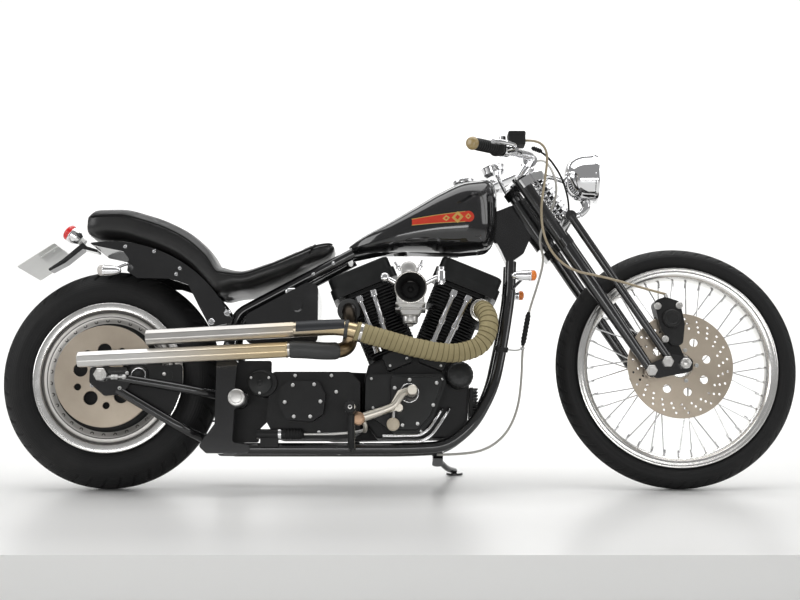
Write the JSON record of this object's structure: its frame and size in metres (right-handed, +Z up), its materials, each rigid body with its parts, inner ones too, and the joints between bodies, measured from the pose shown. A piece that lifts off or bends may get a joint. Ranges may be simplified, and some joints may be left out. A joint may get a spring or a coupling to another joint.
{
  "type": "chopper motorcycle",
  "caption": "Low chopper motorcycle with an open V-twin, springer fork, wire front wheel and solid rear wheel, leaning on its side stand.",
  "frame": {"origin": "on the floor under the middle of the leaning machine's box", "axes": "+X towards the front wheel, +Y to the rider's left, towards which the machine leans, +Z up"},
  "size_m": [2.3197, 0.7844, 1.025],
  "materials": {
    "tyre": "satin",
    "black_paint": "gloss",
    "black_crinkle": "satin",
    "cast_alloy": "satin",
    "polished_alloy": "polished",
    "chrome": "polished",
    "disc_steel": "brushed",
    "bare_steel": "brushed",
    "pipe_steel": "brushed",
    "seat_cover": "gloss",
    "rubber": "matte",
    "grip_rubber": "matte",
    "hose_cover": "satin",
    "plate_white": "satin",
    "lamp_chrome": "polished"
  },
  "bodies": {
    "chassis": {"cam_cover": "black_crinkle", "carburettor": "polished_alloy", "clutch_cable": "hose_cover", "crankcase": "black_crinkle", "cylinder_front": "black_crinkle", "cylinder_rear": "black_crinkle", "drive_belt": "rubber", "exhaust_front": "pipe_steel", "exhaust_rear": "pipe_steel", "exhaust_shield": "black_crinkle", "foot_controls": "polished_alloy", "frame_backbone": "black_paint", "frame_cradle_left": "black_paint", "frame_cradle_right": "black_paint", "frame_rails": "black_paint", "fuel_cap": "chrome", "fuel_tank": "black_paint", "number_plate": "plate_white", "oil_filter": "black_paint", "oil_lines": "bare_steel", "oil_tank": "black_paint", "plate_bracket": "bare_steel", "primary_cover": "black_crinkle", "pushrod_tubes": "chrome", "rear_axle": "bare_steel", "rear_caliper": "black_crinkle", "rear_fender": "black_paint", "rear_master_cylinder": "black_crinkle", "regulator": "black_crinkle", "rocker_boxes": "black_paint", "seat": "seat_cover", "swingarm": "black_paint", "tail_lamp": "lamp_chrome", "transmission": "black_crinkle", "turn_signals": "black_paint"},
    "steering": {"brake_hose": "hose_cover", "fork_crown": "chrome", "fork_legs": "black_paint", "fork_rockers": "black_paint", "fork_springs": "chrome", "front_axle": "bare_steel", "front_caliper": "black_crinkle", "grips": "grip_rubber", "hand_controls": "chrome", "handlebar": "chrome", "headlamp": "lamp_chrome", "speedometer": "chrome", "spring_fork": "black_paint"},
    "front_wheel": {"front_brake_disc": "disc_steel", "front_hub": "cast_alloy", "front_rim": "polished_alloy", "front_spokes": "bare_steel", "front_tyre": "tyre"},
    "rear_wheel": {"rear_brake_disc": "disc_steel", "rear_pulley": "cast_alloy", "rear_tyre": "tyre", "rear_wheel_disc": "cast_alloy"},
    "stand": {"side_stand": "black_paint"}
  },
  "joints": [
    {"name": "rear_wheel_spin", "type": "hinge", "parent": "chassis", "child": "rear_wheel", "pos_m": [-0.842, -0.06934, 0.31501], "axis": [0, 0.9877, -0.1564], "continuous": true},
    {"name": "steering_turn", "type": "hinge", "parent": "chassis", "child": "steering", "pos_m": [0.39346, 0.00293, 0.77132], "axis": [-0.5446, 0.1312, 0.8283], "range_deg": [-28, 28], "deforming": ["clutch_cable"]},
    {"name": "front_wheel_spin", "type": "hinge", "parent": "steering", "child": "front_wheel", "pos_m": [0.808, -0.06408, 0.34822], "axis": [0, 0.9877, -0.1564], "continuous": true},
    {"name": "side_stand_fold", "type": "hinge", "parent": "chassis", "child": "stand", "pos_m": [0.113, 0.05302, 0.06479], "axis": [0, 0.5252, 0.851], "range_deg": [0, 100]}
  ]
}
